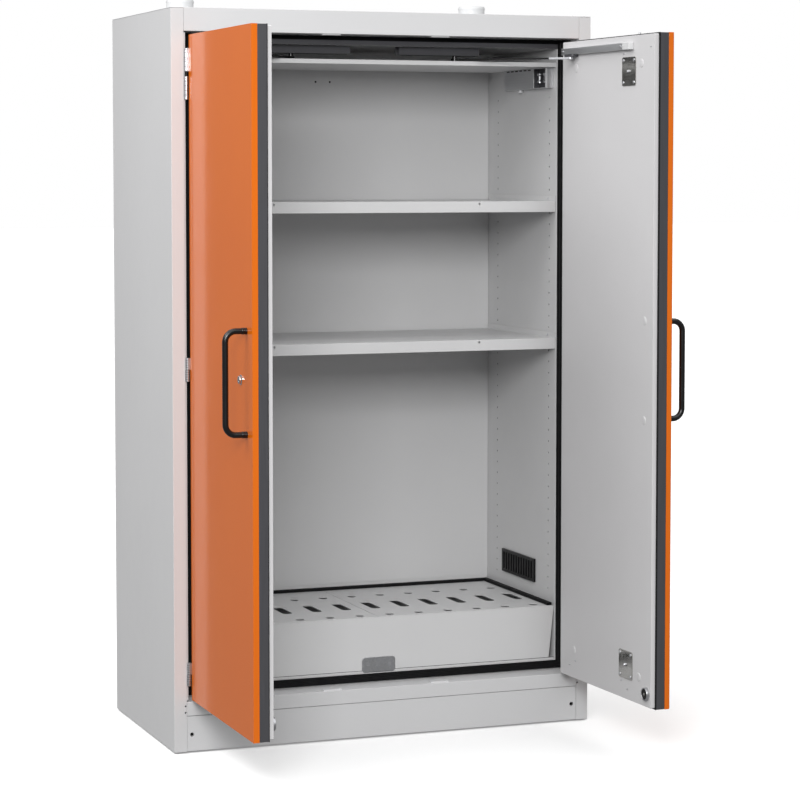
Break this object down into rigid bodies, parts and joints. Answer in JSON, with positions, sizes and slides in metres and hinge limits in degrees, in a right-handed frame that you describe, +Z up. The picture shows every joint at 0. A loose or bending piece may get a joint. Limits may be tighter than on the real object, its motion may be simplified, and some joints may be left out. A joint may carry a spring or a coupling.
{
  "type": "flammable storage cabinet",
  "caption": "Fire-rated floor cabinet with two wing doors, folded steel casing, insulated walls, lift-out shelves and a spill sump, for storing flammable liquids.",
  "frame": {"origin": "on the floor, below the centre of the box that holds the cabinet with both doors open a little past a right angle", "axes": "+X to the right of someone facing the open front, +Y to the back, +Z up"},
  "size_m": [1.2468, 1.1571, 2.003],
  "materials": {
    "casing_paint": "satin powder coat, light grey",
    "board_face": "melamine-faced fire board, light grey",
    "interior_paint": "satin powder coat, light grey",
    "seal_rubber": "matt black",
    "black_plastic": "matt black",
    "white_plastic": "matt white",
    "zinc_steel": "zinc plated",
    "door_paint": "gloss powder coat, orange",
    "door_core": "anthracite edged fire board",
    "door_liner": "melamine-faced board, light grey",
    "handle_black": "satin black",
    "magnet_steel": "nickel plated",
    "closer_silver": "silver anodised",
    "lock_chrome": "polished"
  },
  "bodies": {
    "cabinet": {"left_side_casing": "casing_paint", "right_side_casing": "casing_paint", "rear_casing": "casing_paint", "top_casing": "casing_paint", "sill": "casing_paint", "plinth_cover": "casing_paint", "left_wall_board": "board_face", "right_wall_board": "board_face", "rear_wall_board": "board_face", "base_board": "board_face", "top_board": "board_face", "ceiling_panel": "interior_paint", "sump_tray": "interior_paint", "lower_left_shelf_support": "interior_paint", "lower_right_shelf_support": "interior_paint", "upper_left_shelf_support": "interior_paint", "upper_right_shelf_support": "interior_paint", "frame_seal": "seal_rubber", "front_left_foot": "black_plastic", "front_right_foot": "black_plastic", "rear_left_foot": "black_plastic", "rear_right_foot": "black_plastic", "left_vent_grille": "black_plastic", "right_vent_grille": "black_plastic", "exhaust_spigot": "white_plastic", "supply_spigot": "white_plastic", "release_unit": "zinc_steel", "keeper_plate": "zinc_steel", "left_closer_guide": "zinc_steel", "right_closer_guide": "zinc_steel", "left_top_frame_hinge": "zinc_steel", "left_middle_frame_hinge": "zinc_steel", "left_bottom_frame_hinge": "zinc_steel", "right_top_frame_hinge": "zinc_steel", "right_middle_frame_hinge": "zinc_steel", "right_bottom_frame_hinge": "zinc_steel"},
    "left_door": {"left_top_door_hinge": "zinc_steel", "left_middle_door_hinge": "zinc_steel", "left_bottom_door_hinge": "zinc_steel", "left_door_skin": "door_paint", "left_door_core": "door_core", "left_door_liner": "door_liner", "left_door_handle": "handle_black", "left_door_magnet": "magnet_steel", "left_door_closer": "closer_silver"},
    "right_door": {"right_top_door_hinge": "zinc_steel", "right_middle_door_hinge": "zinc_steel", "right_bottom_door_hinge": "zinc_steel", "right_door_skin": "door_paint", "right_door_core": "door_core", "right_door_liner": "door_liner", "right_door_handle": "handle_black", "right_door_magnet": "magnet_steel", "right_door_closer": "closer_silver"},
    "left_arm": {"left_closer_arm": "closer_silver"},
    "right_arm": {"right_closer_arm": "closer_silver"},
    "lock": {"lock_cylinder": "lock_chrome"},
    "upper_shelf": {"upper_shelf": "interior_paint"},
    "lower_shelf": {"lower_shelf": "interior_paint"},
    "sump_insert": {"sump_insert": "interior_paint"}
  },
  "joints": [
    {"name": "left_door_swing", "type": "hinge", "parent": "cabinet", "child": "left_door", "pos_m": [-0.5565, -0.02475, 1], "axis": [0, 0, 1], "range_deg": [-9.6, 90.4]},
    {"name": "right_door_swing", "type": "hinge", "parent": "cabinet", "child": "right_door", "pos_m": [0.5565, -0.02475, 1], "axis": [0, 0, -1], "range_deg": [-8, 92]},
    {"name": "left_arm_pivot", "type": "hinge", "parent": "left_door", "child": "left_arm", "pos_m": [-0.4851, -0.12525, 1.833], "axis": [0, 0, 1], "range_deg": [-124.13, 13.63]},
    {"name": "right_arm_pivot", "type": "hinge", "parent": "right_door", "child": "right_arm", "pos_m": [0.48793, -0.12721, 1.833], "axis": [0, 0, -1], "range_deg": [-126.32, 11.44]},
    {"name": "lock_turn", "type": "hinge", "parent": "left_door", "child": "lock", "pos_m": [-0.55419, -0.48228, 1.022], "axis": [-1, 0.007, 0], "range_deg": [0, 90]},
    {"name": "upper_shelf_lift", "type": "slide", "parent": "cabinet", "child": "upper_shelf", "axis": [0, 0, 1], "range_m": [0, 0.03]},
    {"name": "lower_shelf_lift", "type": "slide", "parent": "cabinet", "child": "lower_shelf", "axis": [0, 0, 1], "range_m": [0, 0.03]},
    {"name": "sump_insert_lift", "type": "slide", "parent": "cabinet", "child": "sump_insert", "axis": [0, 0, 1], "range_m": [0, 0.05]}
  ],
  "couplings": [
    {"joint": "left_arm_pivot", "follows": "left_door_swing", "ratio": -1.3676},
    {"joint": "right_arm_pivot", "follows": "right_door_swing", "ratio": -1.3676}
  ]
}
